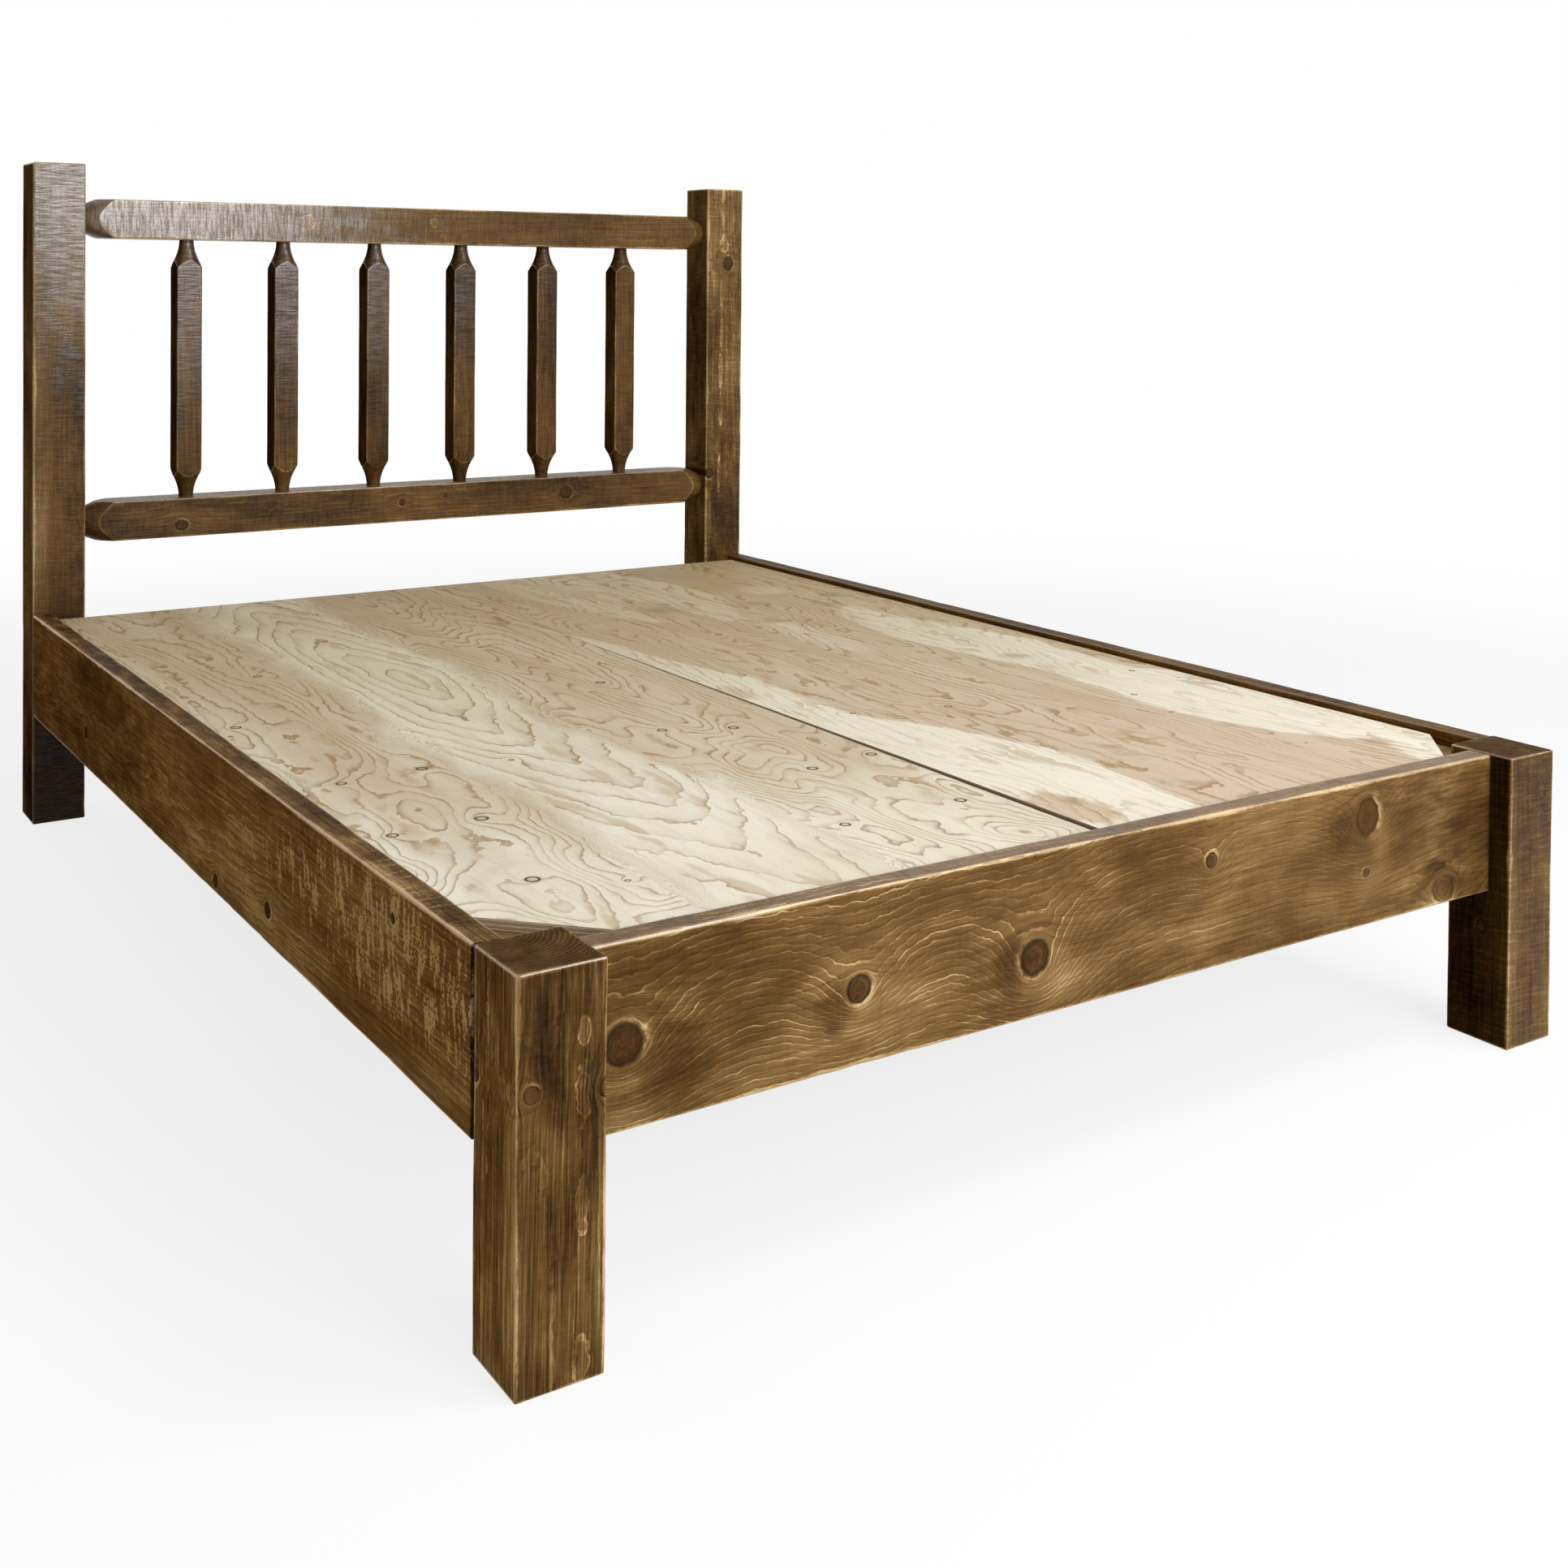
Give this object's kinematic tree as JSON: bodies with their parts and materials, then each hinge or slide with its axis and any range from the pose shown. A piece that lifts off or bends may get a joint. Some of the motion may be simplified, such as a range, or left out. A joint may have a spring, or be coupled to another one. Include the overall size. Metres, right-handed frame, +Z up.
{
  "type": "platform bed",
  "caption": "Rustic platform bed with square posts, a coved-spindle headboard, hook-on side rails, a slatted frame on a centre beam and loose plywood deck panels.",
  "frame": {"origin": "on the floor under the middle of the bed", "axes": "+Y from the foot to the head of the bed, +Z up, +X across it to the right as seen from the foot"},
  "size_m": [1.605, 2.2074, 1.268],
  "materials": {
    "stained_pine": "rough-sawn pine, stained dark brown under a satin lacquer, arrises worn pale",
    "stained_framing": "sawn pine, stained dark brown, matt",
    "bare_plywood": "bare softwood plywood, sanded",
    "plated_steel": "zinc plated",
    "felt": "pressed felt"
  },
  "bodies": {
    "root": {"head_post_left": "stained_pine", "head_post_right": "stained_pine", "foot_post_left": "stained_pine", "foot_post_right": "stained_pine", "headboard_top_rail": "stained_pine", "headboard_bottom_rail": "stained_pine", "spindle_1": "stained_pine", "spindle_2": "stained_pine", "spindle_3": "stained_pine", "spindle_4": "stained_pine", "spindle_5": "stained_pine", "spindle_6": "stained_pine", "foot_rail": "stained_pine", "side_rail_left": "stained_pine", "side_rail_right": "stained_pine", "head_cross_rail": "stained_framing", "ledger_left": "stained_framing", "ledger_right": "stained_framing", "centre_beam": "stained_framing", "beam_cradle_foot": "stained_framing", "beam_cradle_head": "stained_framing", "centre_leg_foot": "stained_framing", "centre_leg_head": "stained_framing", "slat_1": "stained_framing", "slat_2": "stained_framing", "slat_3": "stained_framing", "slat_4": "stained_framing", "slat_5": "stained_framing", "slat_6": "stained_framing", "slat_7": "stained_framing", "slat_8": "stained_framing", "rail_hook_plates": "plated_steel", "post_slot_plates": "plated_steel", "leg_pads": "felt"},
    "deck_left": {"deck_panel_left": "bare_plywood"},
    "deck_right": {"deck_panel_right": "bare_plywood"}
  },
  "joints": [
    {"name": "deck_left_lift", "type": "slide", "parent": "root", "child": "deck_left", "axis": [0, 0, 1], "range_m": [0, 0.25]},
    {"name": "deck_right_lift", "type": "slide", "parent": "root", "child": "deck_right", "axis": [0, 0, 1], "range_m": [0, 0.25]}
  ]
}
